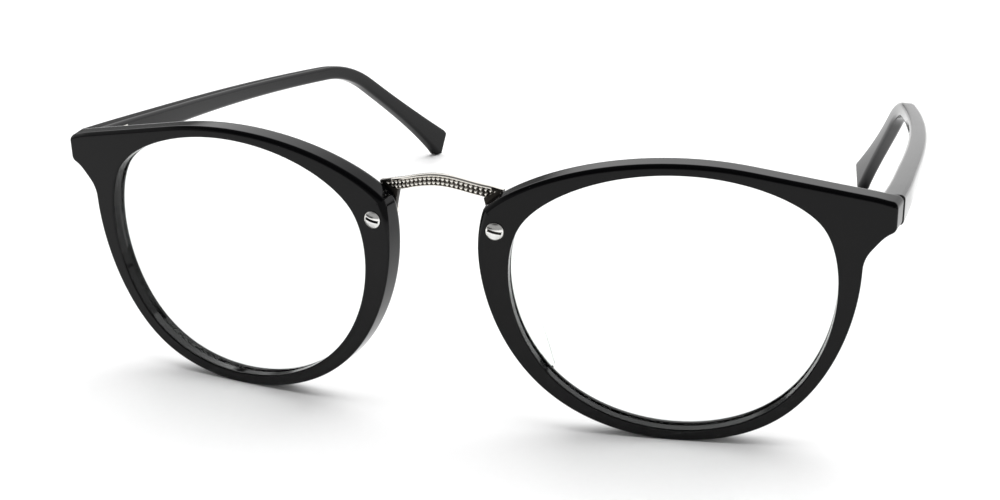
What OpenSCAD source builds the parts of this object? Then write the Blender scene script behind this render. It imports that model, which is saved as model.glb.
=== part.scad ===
// Round acetate eyeglasses with an arched metal bridge and folding temples.
// The front is drawn in its own flat frame (x across, y to the rear, z up, zero at mid lens height),
// then the whole object is tipped until it rests on the rim bottoms and the temple tips.

/* [Rims] */
// Width of the lens opening
eye_w = 49.3; // [44:0.1:56]
// Height of the lens opening
eye_h = 41.4; // [36:0.1:48]
// Distance from the mid plane to the nose side of a lens opening, along the front
eye_inner = 12.15; // [10:0.05:16]
// Thickness of the acetate front
front_t = 4; // [3:0.1:5]
// Rim width beside the nose
rim_nasal = 4.6; // [3.5:0.1:6]
// Rim width beside the temple
rim_temporal = 3.3; // [2.5:0.1:5]
// Rim width at the brow
rim_brow = 1.7; // [1.4:0.1:4]
// Rim width at the bottom
rim_chin = 1.8; // [1.4:0.1:4]
// How far each rim turns back from the flat front, in degrees
wrap = 7.5; // [3:0.5:10]

/* [End pieces] */
// How far the end piece reaches out past the rim
end_reach = 5; // [3:0.1:6]
// Height of the end piece and of the temple's butt
end_h = 4.7; // [3.8:0.1:6]
// How far the end piece's side flares out from front to rear, in degrees
end_flare = 15; // [0:1:20]
// Fall of the brow line towards the end piece, in degrees
brow_fall = 9.7; // [6:0.1:14]
// How far the temple's butt stands proud of the end piece's side
butt_proud = 0.1; // [0:0.1:1]

/* [Lenses] */
// Thickness of the lens
lens_t = 1.6; // [1.2:0.1:2]
// Radius of the lens front surface
lens_r = 260; // [150:5:400]
// How deep the lens sits in its groove
groove_d = 0.8; // [0.5:0.1:1]

/* [Bridge] */
// Height of the bridge bar
bar_h = 1.9; // [1.6:0.05:3]
// Thickness of the bridge bar and its legs
bar_t = 1.1; // [0.8:0.1:1.6]
// Height of the bar's crest above mid lens height
bar_z = 17.2; // [15:0.05:18]
// How far the bar arches up from its ends to its crest
bar_rise = 2.1; // [1:0.05:3]
// How far the bar bows forward of the rims' rear faces
bar_bow = 1.2; // [0:0.1:2]
// Width of the legs behind the rims
leg_w = 3; // [2.4:0.1:3.6]
// Distance from the mid plane to each bridge screw
screw_x = 10; // [9:0.1:11]
// Height of the bridge screws above mid lens height
screw_z = 9.9; // [8:0.1:12]
// Diameter of the bridge screws' heads
screw_head_d = 2.8; // [2:0.1:3.2]
// Diameter of the bridge screws' shanks
screw_d = 1.4; // [1:0.1:1.8]

/* [Nose pads] */
// How far a nose pad stands out behind the rim
pad_depth = 5.5; // [4:0.1:8]
// How far a nose pad turns away from the nose, in degrees
pad_splay = 28; // [10:1:40]
// Thickness of a nose pad
pad_t = 1.6; // [1.2:0.1:2.4]

/* [Hinges] */
// Diameter of the hinge barrels
barrel_d = 2.4; // [2:0.1:3]
// Diameter of the hinge screw
pin_d = 1.1; // [0.9:0.1:1.3]
// Height of the stack of barrels
barrel_h = 3.6; // [3:0.1:4]
// Thickness of the hinge leaves
leaf_t = 1; // [0.8:0.1:1.2]
// Length of the leaf that is let into the temple
leaf_l = 9; // [6:0.5:12]

/* [Temples] */
// Length of a temple from its butt to the start of the ear bend
temple_run = 87; // [60:1:100]
// Radius of the ear bend
bend_r = 30; // [20:1:50]
// How far the tip is turned down by the ear bend, in degrees
bend_angle = 31; // [25:1:50]
// Length of the straight tip past the ear bend
tip_run = 32; // [20:1:40]
// Height of the temple at the ear bend
waist_h = 2.9; // [3:0.1:5]
// Height of the temple near its tip
tip_h = 6; // [4:0.1:8]
// Thickness of the temple at its butt
temple_t = 3.5; // [3:0.1:4.5]
// Thickness of the temple at its tip
tip_t = 2.6; // [2:0.1:3.5]
// Fall of the temple from the front's square, in degrees
temple_fall = 7.1; // [3:0.1:10]
// How far the temple swells outward just behind its butt
temple_swell = 0.35; // [0:0.05:2]
// How far the temple has turned inward at its tip
tip_inward = 16.8; // [8:0.2:20]
// Width of the metal core inside the temple
core_w = 1.8; // [1.2:0.1:2.4]
// Thickness of the metal core
core_t = 0.9; // [0.6:0.1:1.2]

/* [Hidden] */
$fn = 48;

acetate = [0.03, 0.03, 0.035];
nickel = [0.78, 0.76, 0.72];
clear = [0.9, 0.93, 0.95, 0.35];

// Running clearance between pieces that only touch, and between pieces that move
seat_gap = 0.02;
joint_gap = 0.15;
eps = 0.01;
wide = 200;

// Bridge screws and nuts: domed head in a shallow ring, slot across it, and the closed end of the nut
head_h = 0.5;
head_seat = 0.12;
head_room = 0.1;
slot_w = 0.35;
slot_deep = 0.25;
slot_turn = 13;
nut_h = 1.2;
nut_cap = 0.2;

// Distance from the mid plane to the middle of a lens opening, along the front
eye_x = eye_inner + eye_w / 2;

// A closed outline drawn by its distance from a centre in each direction:
// [centre x, centre z, mean distance, oval, lean, taper, fullness]
eye_lean = -0.27;
eye_taper = 0.91;
eye_full = 0.47;
rim_lean = -0.42;
rim_taper = 1.98;
rim_full = 0.91;
rim_w = eye_w + rim_nasal + rim_temporal;
rim_h = eye_h + rim_brow + rim_chin;
eye = [eye_x, 0, (eye_w + eye_h) / 4 + eye_full, (eye_w - eye_h) / 4, eye_lean, eye_taper, eye_full];
rim_x = eye_x + (rim_temporal - rim_nasal) / 2 - (rim_lean - eye_lean);
rim_z = (rim_brow - rim_chin) / 2 + (rim_taper - eye_taper);
rim = [rim_x, rim_z, (rim_w + rim_h) / 4 + rim_full, (rim_w - rim_h) / 4, rim_lean, rim_taper, rim_full];

function reach(o, a) =
    o[2] + o[3] * cos(2 * a) + o[4] * cos(3 * a) + o[5] * sin(3 * a) - o[6] * cos(4 * a);
function reach_rate(o, a) =
    -2 * o[3] * sin(2 * a) - 3 * o[4] * sin(3 * a) + 3 * o[5] * cos(3 * a) + 4 * o[6] * sin(4 * a);
function outline_point(o, a, grow = 0) =
    [o[0], o[1]] + (reach(o, a) + grow) * [cos(a), sin(a)] + reach_rate(o, a) * [-sin(a), cos(a)];
function outline(o, grow = 0) = [for (a = [0:3:357]) outline_point(o, a, grow)];
// How tightly an outline curves in each direction, as a radius
function bend_radius(o, a) =
    o[2] - 3 * o[3] * cos(2 * a) - 8 * o[4] * cos(3 * a) - 8 * o[5] * sin(3 * a) + 15 * o[6] * cos(4 * a);
function tangent(a) = [-sin(a), cos(a)];

// End piece: the brow line runs on straight from the rim to a rounded outer corner
end_side = rim_x + rim_w / 2 + end_reach;
brow_normal = 90 - brow_fall;
brow_start = outline_point(rim, brow_normal);
corner_r = 1.1;
end_top = brow_start[1] - (end_side - brow_start[0]) * tan(brow_fall);
end_mid = end_top - end_h / 2;
nook_angle = -1;
nook_end = outline_point(rim, nook_angle);
nook_low = -60;
nook_handle = 3.4;
nook_low_handle = 2.4;

function arc(c, r, a0, a1, n) =
    [for (i = [0:n]) let (a = a0 + (a1 - a0) * i / n) c + r * [cos(a), sin(a)]];
function blend(p0, d0, p1, d1, n) =
    [for (i = [1:n - 1]) let (s = i / n, q = 1 - s)
        q * q * q * p0 + 3 * q * q * s * (p0 + d0) + 3 * q * s * s * (p1 + d1) + s * s * s * p1];
corner_top = [end_side - corner_r, end_top + corner_r * tan(brow_fall) - corner_r / cos(brow_fall)];
corner_low = [end_side - corner_r, end_top - end_h + corner_r];
low_end = corner_low + corner_r * [cos(nook_low), sin(nook_low)];
// The corner beside the nose: a blend takes over wherever the rim's outline would curve too tightly
nose_angle = 146;
tight_radius = 6;
tight = [for (a = [100:180]) if (abs(a - nose_angle) < 3 || bend_radius(rim, a) < tight_radius) a];
nose_from = tight[0];
nose_to = tight[len(tight) - 1];
nose_start = outline_point(rim, nose_from);
nose_end = outline_point(rim, nose_to);
nose_handle = 0.42 * norm(nose_end - nose_start);
function sweep(o, a0, a1, n) = [for (i = [0:n]) outline_point(o, a0 + (a1 - a0) * i / n)];
rim_outline = concat(
    sweep(rim, brow_normal, nose_from, 16),
    blend(nose_start, nose_handle * tangent(nose_from), nose_end, -nose_handle * tangent(nose_to), 7),
    sweep(rim, nose_to, 360 + nook_angle, 66),
    blend(nook_end, nook_handle * tangent(nook_angle), low_end, -nook_low_handle * tangent(nook_low), 10),
    arc(corner_low, corner_r, nook_low, 0, 4),
    arc(corner_top, corner_r, 0, brow_normal, 6)
);

// The temple's guide line from its butt to its tip, seen from the side. It runs half a waist height
// below the straight upper edge; the extra height at the butt and at the tip is all below it.
butt_y = (end_side - screw_x) * sin(wrap) + front_t * cos(wrap);
run_dir = [cos(temple_fall), -sin(temple_fall)];
run_start = [butt_y, end_top - waist_h / 2];
bend_start = run_start + temple_run * run_dir;
bend_centre = bend_start - bend_r * [sin(temple_fall), cos(temple_fall)];
tip_fall = temple_fall + bend_angle;
bend_end = bend_centre + bend_r * [sin(tip_fall), cos(tip_fall)];
tip_end = bend_end + tip_run * [cos(tip_fall), -sin(tip_fall)];
bend_len = bend_r * bend_angle * PI / 180;
temple_len = temple_run + bend_len + tip_run;

// A place on the guide line a distance along it: [[y, z], fall]
function guide(s) =
    s < temple_run
        ? [run_start + s * run_dir, temple_fall]
        : s < temple_run + bend_len
            ? let (f = temple_fall + (s - temple_run) / bend_r * 180 / PI)
                [bend_centre + bend_r * [sin(f), cos(f)], f]
            : [bend_end + (s - temple_run - bend_len) * [cos(tip_fall), -sin(tip_fall)], tip_fall];
function edge_point(s, up) = let (g = guide(s)) g[0] + up * [sin(g[1]), cos(g[1])];
function share(s, from, to) = max(0, min(1, (s - from) / (to - from)));
function depth_below(s) =
    waist_h / 2
    + (end_h - waist_h) * pow(1 - share(s, 0, temple_run), 2.2)
    + (tip_h - waist_h) * pow(share(s, temple_run, temple_len), 4);
function stations(from, to) = concat(
    [for (i = [0:9]) from + (temple_run - from) * i / 10],
    [for (i = [0:8]) temple_run + bend_len * i / 8],
    [for (i = [1:5]) temple_run + bend_len + (to - temple_run - bend_len) * i / 5]
);
function reversed(list) = [for (i = [len(list) - 1:-1:0]) list[i]];

// The tip's end: a rounded upper corner, then a cut that slants out to the lower corner
tip_round = 2;
tip_low_round = 0.6;
tip_cut = 10;
tip_cut_reach = tip_h * tan(tip_cut);
tip_facing = 80;
function side_outline(from) = let (ss = stations(from, temple_len - tip_round)) concat(
    [for (s = ss) edge_point(s, waist_h / 2)],
    arc(edge_point(temple_len - tip_round, waist_h / 2 - tip_round), tip_round,
        tip_facing - tip_fall, -tip_fall, 5),
    [edge_point(temple_len + tip_cut_reach, tip_low_round - depth_below(temple_len))],
    [edge_point(temple_len + tip_cut_reach - tip_low_round, -depth_below(temple_len))],
    [for (s = reversed(ss)) edge_point(s, -depth_below(s))]
);

// Seen from above: the outer face swells out behind the butt, runs straight, then turns in
// more and more towards the tip
butt_x = screw_x + (end_side - screw_x) * cos(wrap) - front_t * sin(wrap) + butt_proud;
swell_l = 16;
straight_l = 28.4;
turn_power = 2.45;
turn_y = butt_y + straight_l;
end_y = tip_end[0] + tip_h;
function outer_x(y) = let (rise = share(y, butt_y, butt_y + swell_l))
    butt_x + temple_swell * rise * (2 - rise)
    - tip_inward * pow(max(0, y - turn_y) / (tip_end[0] - turn_y), turn_power);
function thickness(y) = temple_t + (tip_t - temple_t) * share(y, butt_y, tip_end[0]);
plan_ys = [for (i = [0:24]) butt_y + (end_y - butt_y) * i / 24];
function plan_outline(from) = let (ys = concat([from], plan_ys))
    concat([for (y = ys) [outer_x(y), y]], [for (y = reversed(ys)) [outer_x(y) - thickness(y), y]]);

// Hinge axis: the barrels clear the rear of the front and the inner face of the temple
barrel_r = barrel_d / 2;
hinge_x = outer_x(butt_y + barrel_r) - temple_t - barrel_r - joint_gap;
hinge_lift = 0.2;
hinge_y = butt_y - (end_side - screw_x - (hinge_x - screw_x) / cos(wrap)) * sin(wrap)
    + barrel_r + joint_gap + hinge_lift;
slot_h = barrel_h / 5;
slot_gap = 0.04;
web_gap = 0.2;
web_r = barrel_r - web_gap;
web_short = pin_d / 2 + 0.3;
front_leaf_in = 2.4;
front_leaf_out = 0.8;
leaf_proud = 0.05;
leaf_inset = 0.3;
arm_short = 0.1;
hinge_head_h = 0.4;
hinge_slot_w = 0.3;

// How the object rests: tipped so that the rims' lowest edge and the temple tips touch one plane
rim_low = [(rim_x - screw_x) * sin(wrap), rim_z - reach(rim, 270)];
tip_low = edge_point(temple_len + tip_cut_reach - tip_low_round, -depth_below(temple_len));
rest_tilt = -atan((tip_low[1] - rim_low[1]) / (tip_low[0] - rim_low[0]));
rest_lift = -(rim_low[1] * cos(rest_tilt) + rim_low[0] * sin(rest_tilt));
middle_y = (tip_end[0] - head_h) / 2;

module resting() {
    translate([0, -middle_y, rest_lift]) rotate([rest_tilt, 0, 0]) children();
}
// The wearer's left is +X; the right is its mirror image
module sided(side) {
    if (side == "left") children();
    else mirror([1, 0, 0]) children();
}
// From the flat front to the turned-back rim
module on_rim() {
    translate([screw_x, 0, 0]) rotate([0, 0, wrap]) translate([-screw_x, 0, 0]) children();
}
// A plate standing across the view: outline in x and z, from the depth y0 to y1
module plate(points, y0, y1) {
    translate([0, y1, 0]) rotate([90, 0, 0]) linear_extrude(y1 - y0) polygon(points);
}
module rod_y(x, z, d, y0, y1) {
    translate([x, y0, z]) rotate([-90, 0, 0]) cylinder(d=d, h=y1 - y0);
}

// The lens is a shell between two spheres, cut to the opening's outline
lens_set = 0.6;
module lens_shell(extra) {
    translate([eye_x, lens_r + lens_set, 0])
        difference() {
            sphere(r=lens_r + extra, $fn=200);
            sphere(r=lens_r - lens_t - extra, $fn=200);
        }
}
module lens_blank(grow, extra) {
    intersection() {
        lens_shell(extra);
        plate(outline(eye, grow), -2, front_t + 2);
    }
}

// What is planed off the end piece so that its side flares out towards the temple
module flare_cut() {
    edge = end_side - front_t * tan(end_flare);
    translate([0, 0, -wide / 2])
        linear_extrude(wide)
        polygon([[edge, 0], [end_side, front_t], [wide, front_t], [wide, -eps], [edge, -eps]]);
}

module rim(side) {
    color(acetate)
        resting() sided(side)
            difference() {
                on_rim()
                    difference() {
                        plate(rim_outline, 0, front_t);
                        plate(outline(eye), -1, front_t + 1);
                        lens_blank(groove_d, seat_gap);
                        rod_y(screw_x, screw_z, screw_d + 2 * seat_gap, -1, front_t + 1);
                        rod_y(screw_x, screw_z, screw_head_d + 2 * head_room, -1, head_seat);
                        flare_cut();
                    }
                hinge_pocket();
            }
}

module lens(side) {
    color(clear)
        resting() sided(side) on_rim() lens_blank(groove_d - seat_gap, 0);
}

// Bridge: a bar that arches up and bows forward between the rims, with a leg down to each screw
bar_end_x = screw_x + 0.1;
bar_free_x = 7.9;
bar_y = front_t + seat_gap;
leg_r = leg_w / 2;
leg_cut = 0.5;
bar_xs = [for (i = [-14:14]) bar_end_x * i / 14];
function bar_top(x) = bar_z - bar_rise * (1 - cos(150 * x / bar_end_x)) / (1 - cos(150));
function bar_front(x) = bar_y - bar_bow * (1 - pow(min(1, abs(x) / bar_free_x), 3));
leg_top_z = bar_top(bar_end_x) - bar_h / 2;
module bar() {
    intersection() {
        plate(concat(
            [for (x = bar_xs) [x, bar_top(x)]],
            [for (x = reversed(bar_xs)) [x, bar_top(x) - bar_h]]
        ), -front_t, 2 * front_t);
        linear_extrude(wide) polygon(concat(
            [for (x = bar_xs) [x, bar_front(x)]],
            [for (x = reversed(bar_xs)) [x, bar_front(x) + bar_t]]
        ));
    }
}
module bridge() {
    color(nickel)
        resting()
            difference() {
                union() {
                    bar();
                    for (side = ["left", "right"]) sided(side) on_rim() {
                        plate([
                            [screw_x - leg_r, screw_z], [screw_x + leg_r, screw_z],
                            [bar_end_x, leg_top_z + bar_h / 2],
                            [bar_end_x - leg_w + leg_cut, leg_top_z - bar_h / 2 + leg_cut]
                        ], bar_y, bar_y + bar_t);
                        rod_y(screw_x, screw_z, leg_w, bar_y, bar_y + bar_t);
                    }
                }
                for (side = ["left", "right"]) sided(side) on_rim()
                    rod_y(screw_x, screw_z, screw_d + 2 * seat_gap, 0, 3 * front_t);
            }
}

// Slotted screw: domed head on the front face, shank through the rim and the leg into the nut
shank_end = bar_y + bar_t + nut_h - nut_cap;
module bridge_screw(side) {
    dome_r = (screw_head_d * screw_head_d / 4 + head_h * head_h) / (2 * head_h);
    color(nickel)
        resting() sided(side) on_rim()
            difference() {
                union() {
                    intersection() {
                        rod_y(screw_x, screw_z, screw_head_d, -1, head_seat - seat_gap);
                        translate([screw_x, dome_r - head_h, screw_z]) sphere(r=dome_r, $fn=96);
                    }
                    rod_y(screw_x, screw_z, screw_d, -head_h / 2, shank_end);
                }
                translate([screw_x, -head_h, screw_z])
                    rotate([0, slot_turn, 0])
                    cube([screw_head_d + 1, 2 * slot_deep, slot_w], center=true);
            }
}

module bridge_nut(side) {
    nut_y = bar_y + bar_t + seat_gap;
    color(nickel)
        resting() sided(side) on_rim()
            difference() {
                rod_y(screw_x, screw_z, leg_w - 0.4, nut_y, nut_y + nut_h);
                rod_y(screw_x, screw_z, screw_d + 2 * seat_gap, nut_y - 1, nut_y + nut_h - nut_cap + eps);
            }
}

// Nose pad: a clear wing on the rear of the rim, following its nose side
pad_top = 178;
pad_low = 226;
pad_end_share = 0.35;
pad_root_r = 0.6 * pad_t;
pad_steps = 8;
module pad_rib(i) {
    a = pad_top + (pad_low - pad_top) * i / pad_steps;
    swell = 1 - (1 - pad_end_share) * pow(2 * i / pad_steps - 1, 2);
    root = outline_point(rim, a, -pad_t);
    crest = outline_point(rim, a, -pad_t / 2 - pad_depth * swell * tan(pad_splay));
    translate([root[0], front_t, root[1]]) sphere(r=pad_root_r, $fn=24);
    translate([crest[0], front_t + pad_depth * swell - pad_t / 2, crest[1]]) sphere(r=pad_t / 2, $fn=24);
}
module nose_pad(side) {
    color(clear)
        resting() sided(side) on_rim()
            difference() {
                for (i = [1:pad_steps]) hull() {
                    pad_rib(i - 1);
                    pad_rib(i);
                }
                translate([0, front_t + seat_gap - wide, -wide / 2]) cube([wide, wide, wide]);
                rod_y(screw_x, screw_z, leg_w + 2 * joint_gap, 0, 3 * front_t);
                lens_blank(groove_d, joint_gap);
            }
}

// Front hinge: a leaf let into the rear of the end piece, with three barrels
module front_leaf(grow) {
    on_rim()
        translate([hinge_u() - barrel_r - front_leaf_in, front_t - leaf_t, end_mid - barrel_h / 2])
        translate(-grow * [1, 1, 1])
        cube([barrel_d + front_leaf_in + front_leaf_out, leaf_t, barrel_h] + 2 * grow * [1, 1, 1]);
}
function hinge_u() = screw_x + (hinge_x - screw_x) * cos(wrap) + hinge_y * sin(wrap);
function hinge_t() = -(hinge_x - screw_x) * sin(wrap) + hinge_y * cos(wrap);

module hinge_pocket() {
    front_leaf(seat_gap);
}
module barrel(z0, z1) {
    translate([hinge_x, hinge_y, z0]) cylinder(d=barrel_d, h=z1 - z0);
}
module pin_bore() {
    translate([hinge_x, hinge_y, end_mid - barrel_h]) cylinder(d=pin_d + 2 * seat_gap, h=2 * barrel_h);
}
module front_hinge(side) {
    z0 = end_mid - barrel_h / 2;
    color(nickel)
        resting() sided(side)
            difference() {
                union() {
                    front_leaf(0);
                    for (i = [0, 2, 4]) {
                        barrel(z0 + i * slot_h, z0 + (i + 1) * slot_h - slot_gap);
                        on_rim()
                            translate([hinge_u() - web_r, front_t - leaf_t / 2, z0 + i * slot_h])
                            cube([2 * web_r, hinge_t() - front_t + leaf_t / 2 - web_short, slot_h - slot_gap]);
                    }
                }
                pin_bore();
            }
}

// Temple hinge: two barrels on a leaf let into the inner face of the temple
module temple_leaf(grow) {
    intersection() {
        translate([-wide, hinge_y + web_gap - grow, -wide / 2]) cube([2 * wide, leaf_l + 2 * grow, wide]);
        translate([0, 0, -wide / 2])
            linear_extrude(wide)
            polygon(leaf_plan(grow));
        translate([-wide, hinge_y, end_mid])
            rotate([-temple_fall, 0, 0])
            translate([0, -leaf_l, leaf_inset - barrel_h / 2 - grow])
            cube([2 * wide, 3 * leaf_l, barrel_h - 2 * leaf_inset + 2 * grow]);
    }
}
arm_l = outer_x(hinge_y) - thickness(hinge_y) + leaf_t - hinge_x - arm_short;
function leaf_plan(grow) = let (ys = [hinge_y - 1, hinge_y + leaf_l / 2, hinge_y + leaf_l + 1]) concat(
    [for (y = ys) [outer_x(y) - thickness(y) - leaf_proud - grow, y]],
    [for (y = reversed(ys)) [outer_x(y) - thickness(y) + leaf_t + grow, y]]
);
module temple_hinge(side) {
    z0 = end_mid - barrel_h / 2;
    color(nickel)
        resting() sided(side)
            difference() {
                union() {
                    temple_leaf(0);
                    for (i = [1, 3]) {
                        barrel(z0 + i * slot_h, z0 + (i + 1) * slot_h - slot_gap);
                        translate([hinge_x, hinge_y, z0 + i * slot_h])
                            cube([arm_l, web_r, slot_h - slot_gap]);
                    }
                }
                pin_bore();
            }
}
// Room in the temple for the hinge's leaf and its arms
module temple_pocket() {
    temple_leaf(seat_gap);
    for (i = [1, 3])
        translate([hinge_x, hinge_y - seat_gap, end_mid - barrel_h / 2 + i * slot_h - seat_gap])
            cube([arm_l + seat_gap, web_r + 2 * seat_gap, slot_h - slot_gap + 2 * seat_gap]);
}

module hinge_screw(side) {
    top = end_mid + barrel_h / 2;
    color(nickel)
        resting() sided(side)
            difference() {
                union() {
                    translate([hinge_x, hinge_y, top - slot_gap + seat_gap])
                        cylinder(d=2 * web_r, h=hinge_head_h);
                    translate([hinge_x, hinge_y, top - barrel_h])
                        cylinder(d=pin_d, h=barrel_h + hinge_head_h / 4);
                }
                translate([hinge_x, hinge_y, top + hinge_head_h])
                    cube([barrel_d, hinge_slot_w, hinge_head_h], center=true);
            }
}

// Temple: the side view and the plan, both cut through one blank
module temple_blank(side_view, plan) {
    intersection() {
        translate([wide / 2, 0, 0])
            rotate([0, -90, 0])
            linear_extrude(wide)
            polygon([for (p = side_view) [p[1], p[0]]]);
        translate([0, 0, -wide / 2]) linear_extrude(wide) polygon(plan);
    }
}
module behind_front(gap) {
    on_rim() translate([-wide / 2, front_t + gap, -wide / 2]) cube([wide, wide, wide]);
}
module temple(side) {
    color(acetate)
        resting() sided(side)
            difference() {
                intersection() {
                    temple_blank(side_outline(-3), plan_outline(butt_y - 3));
                    behind_front(joint_gap);
                }
                temple_pocket();
                core(seat_gap);
            }
}

// Metal core: a flat wire down the middle of the temple, from the hinge leaf to near the tip
core_from = leaf_l + barrel_r + 1.2;
core_to = temple_len - 12;
function core_side(grow) = let (half = core_w / 2 + grow, ss = stations(core_from - grow, core_to + grow))
    concat(
        [for (s = ss) edge_point(s, half)],
        [for (s = reversed(ss)) edge_point(s, -half)]
    );
function core_plan(grow) = let (half = core_t / 2 + grow)
    concat(
        [for (y = plan_ys) [outer_x(y) - thickness(y) / 2 + half, y]],
        [for (y = reversed(plan_ys)) [outer_x(y) - thickness(y) / 2 - half, y]]
    );
module core(grow) {
    temple_blank(core_side(grow), core_plan(grow));
}
module core_wire(side) {
    color(nickel) resting() sided(side) core(0);
}

rim("left");  // rim_left
rim("right");  // rim_right
lens("left");  // lens_left
lens("right");  // lens_right
bridge();
bridge_screw("left");  // bridge_screw_left
bridge_screw("right");  // bridge_screw_right
bridge_nut("left");  // bridge_nut_left
bridge_nut("right");  // bridge_nut_right
nose_pad("left");  // nose_pad_left
nose_pad("right");  // nose_pad_right
front_hinge("left");  // front_hinge_left
front_hinge("right");  // front_hinge_right
temple_hinge("left");  // temple_hinge_left
temple_hinge("right");  // temple_hinge_right
hinge_screw("left");  // hinge_screw_left
hinge_screw("right");  // hinge_screw_right
temple("left");  // temple_left
temple("right");  // temple_right
core_wire("left");  // core_wire_left
core_wire("right");  // core_wire_right
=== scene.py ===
"""Round black acetate eyeglasses with an arched metal bridge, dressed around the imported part.

All sizes are in millimetres in the front's own flat frame (x across, y to the rear, z up, zero at
mid lens height) and are carried to the resting object, in metres, by the Stand.
"""

import logging
import math
from dataclasses import dataclass, field
from enum import Enum
from typing import Callable, Sequence

import bmesh
import bpy
from mathutils import Matrix, Vector


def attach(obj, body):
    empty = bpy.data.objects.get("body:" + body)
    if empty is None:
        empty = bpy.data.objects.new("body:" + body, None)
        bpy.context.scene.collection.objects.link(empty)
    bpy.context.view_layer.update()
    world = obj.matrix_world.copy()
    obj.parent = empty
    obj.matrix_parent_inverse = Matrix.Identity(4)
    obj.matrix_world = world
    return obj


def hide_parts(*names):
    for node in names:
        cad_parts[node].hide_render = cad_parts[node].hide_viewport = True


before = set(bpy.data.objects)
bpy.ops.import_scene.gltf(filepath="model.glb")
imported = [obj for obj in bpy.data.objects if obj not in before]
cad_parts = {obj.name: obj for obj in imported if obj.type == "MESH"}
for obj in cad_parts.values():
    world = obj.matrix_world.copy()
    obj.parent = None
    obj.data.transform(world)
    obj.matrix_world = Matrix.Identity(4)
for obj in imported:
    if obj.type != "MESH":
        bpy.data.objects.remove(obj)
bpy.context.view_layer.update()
LOG = logging.getLogger("eyeglasses")
MM = 0.001
SHARP_ANGLE = math.radians(38)
Loop = list[bmesh.types.BMVert]
Row = Sequence[Vector]
Station = tuple[Vector, Vector, float]
Depth = float | Callable[[Vector], float]
Source = bpy.types.NodeSocket | float | tuple


class Side(Enum):
    """The wearer's two sides: the left one is +x."""

    LEFT = 1
    RIGHT = -1

    @property
    def tag(self) -> str:
        """The side's word in the names of nodes and pieces."""
        return self.name.lower()

    @property
    def temple_body(self) -> str:
        """The body that this side's temple moves with."""
        return f"{self.tag}_temple"


@dataclass(frozen=True)
class Stand:
    """How the flat front frame lies when the glasses rest on the rim bottoms and the temple tips."""

    tilt_deg: float = 0.727244
    lift: float = 23.3645
    middle: float = 68.8011

    def seat(self, x: float, y: float, z: float) -> Vector:
        """Carry a point of the front frame to the resting object.

        Args:
            x: Distance across, mm.
            y: Distance to the rear, mm.
            z: Height above mid lens height, mm.

        Returns:
            The same point on the resting object, in metres.
        """
        turn = math.radians(self.tilt_deg)
        back = y * math.cos(turn) - z * math.sin(turn) - self.middle
        up = y * math.sin(turn) + z * math.cos(turn) + self.lift
        return Vector((x, back, up)) * MM

    def aim(self, x: float, y: float, z: float) -> Vector:
        """Turn a direction of the front frame as the resting object is turned."""
        turn = math.radians(self.tilt_deg)
        return Vector((x, y * math.cos(turn) - z * math.sin(turn), y * math.sin(turn) + z * math.cos(turn)))

    def unseat(self, point: Vector) -> Vector:
        """Carry a point of the resting object, in metres, back to the front frame, in mm.

        Args:
            point: The point on the resting object.

        Returns:
            The same point in the front frame.
        """
        turn = math.radians(self.tilt_deg)
        x, y, z = point / MM - Vector((0.0, -self.middle, self.lift))
        return Vector((x, y * math.cos(turn) + z * math.sin(turn), z * math.cos(turn) - y * math.sin(turn)))


@dataclass(frozen=True)
class Oval:
    """A closed outline drawn by its reach from a centre in each direction, in mm."""

    x: float
    z: float
    mean: float
    oval: float
    lean: float
    taper: float
    full: float

    def point(self, deg: float, grow: float = 0.0) -> Vector:
        """Find the place on the outline, or on one parallel to it, that faces a direction.

        Args:
            deg: The outward direction there.
            grow: How far outside the outline the parallel one runs, mm.

        Returns:
            The place.
        """
        a = math.radians(deg)
        reach = (self.mean + self.oval * math.cos(2 * a) + self.lean * math.cos(3 * a)
                 + self.taper * math.sin(3 * a) - self.full * math.cos(4 * a) + grow)
        rate = (-2 * self.oval * math.sin(2 * a) - 3 * self.lean * math.sin(3 * a)
                + 3 * self.taper * math.cos(3 * a) + 4 * self.full * math.sin(4 * a))
        return Vector((self.x + reach * math.cos(a) - rate * math.sin(a),
                       self.z + reach * math.sin(a) + rate * math.cos(a)))

    def bend_radius(self, deg: float) -> float:
        """How tightly the outline curves where its outward direction is deg, as a radius in mm."""
        a = math.radians(deg)
        return (self.mean - 3 * self.oval * math.cos(2 * a) - 8 * self.lean * math.cos(3 * a)
                - 8 * self.taper * math.sin(3 * a) + 15 * self.full * math.cos(4 * a))


def outward(deg: float) -> Vector:
    """The unit direction at deg, counted from x towards z."""
    return Vector((math.cos(math.radians(deg)), math.sin(math.radians(deg))))


def along(deg: float) -> Vector:
    """The unit direction a quarter turn on from outward(deg)."""
    return Vector((-math.sin(math.radians(deg)), math.cos(math.radians(deg))))


def eased(value: float, low: float, high: float) -> float:
    """Where value lies between low and high, from 0 to 1, with a soft start and end."""
    share = min(1.0, max(0.0, (value - low) / (high - low)))
    return share * share * (3 - 2 * share)


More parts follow.
